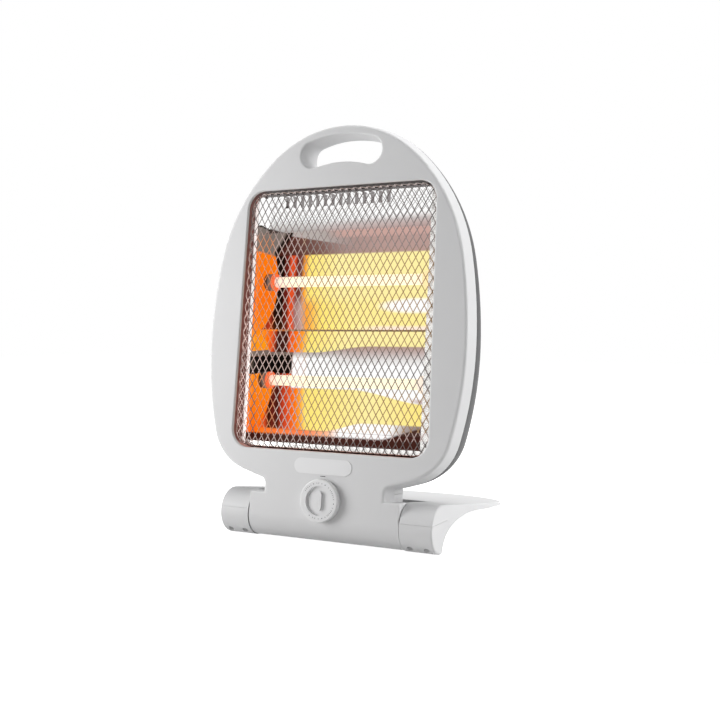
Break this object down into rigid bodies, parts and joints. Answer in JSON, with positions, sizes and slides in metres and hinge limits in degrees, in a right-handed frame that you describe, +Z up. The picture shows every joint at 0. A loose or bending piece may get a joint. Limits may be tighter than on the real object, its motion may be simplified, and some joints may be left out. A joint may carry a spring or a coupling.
{
  "type": "quartz heater",
  "caption": "Portable radiant quartz heater: egg-shaped head with wire grille, handle slot and dial, tilting on a barrel hinge between the ears of a tongue-shaped foot.",
  "frame": {"origin": "centre of the bounding box on the ground the foot stands on", "axes": "+Z up, -Y towards the grille side, +X to the right seen from the front"},
  "size_m": [0.268, 0.2888, 0.3783],
  "materials": {
    "casing_plastic": "semi-gloss light grey",
    "rear_plastic": "satin dark grey",
    "grille_wire": "bright plated wire",
    "reflector_metal": "polished",
    "shield_steel": "bare sheet",
    "dark_plastic": "matt black",
    "cutout_metal": "bare",
    "steel": "zinc plated",
    "bush_plastic": "natural",
    "knob_plastic": "semi-gloss light grey",
    "quartz": "milky, glowing",
    "coil_wire": "oxidised",
    "ceramic": "unglazed",
    "rubber": "matt"
  },
  "bodies": {
    "foot": {"foot_plate": "casing_plastic", "ear_cover_right": "casing_plastic", "ear_cover_left": "casing_plastic", "ear_screws": "steel", "rubber_pads": "rubber", "hinge_bush_right": "bush_plastic", "hinge_bush_left": "bush_plastic"},
    "head": {"front_casing": "casing_plastic", "stem_back_cover": "casing_plastic", "rear_cover": "rear_plastic", "grille_mesh": "grille_wire", "reflector_frame": "reflector_metal", "reflector_upper": "reflector_metal", "reflector_lower": "reflector_metal", "reflector_top_plate": "reflector_metal", "reflector_bottom_plate": "reflector_metal", "side_plate_right": "reflector_metal", "side_plate_left": "reflector_metal", "heat_shield": "shield_steel", "rotary_switch": "dark_plastic", "tilt_switch": "dark_plastic", "terminal_block": "dark_plastic", "cord_inlet": "dark_plastic", "thermal_cutout": "cutout_metal", "cover_screws": "steel", "reflector_screws": "steel", "hinge_pin_right": "steel", "hinge_pin_left": "steel", "friction_washer_right": "steel", "friction_washer_left": "steel", "retaining_ring_right": "steel", "retaining_ring_left": "steel", "quartz_tube_upper": "quartz", "quartz_tube_lower": "quartz", "heating_coil_upper": "coil_wire", "heating_coil_lower": "coil_wire", "tube_cap_upper_right": "ceramic", "tube_cap_upper_left": "ceramic", "tube_cap_lower_right": "ceramic", "tube_cap_lower_left": "ceramic"},
    "knob": {"knob": "knob_plastic", "switch_spindle": "steel"}
  },
  "joints": [
    {"name": "head_tilt", "type": "hinge", "parent": "foot", "child": "head", "pos_m": [0, -0.11786, 0.0208], "axis": [1, 0, 0], "range_deg": [-20, 20]},
    {"name": "knob_turn", "type": "hinge", "parent": "head", "child": "knob", "pos_m": [0, -0.13692, 0.04006], "axis": [0, 0.9937, -0.1123], "range_deg": [0, 270]}
  ]
}
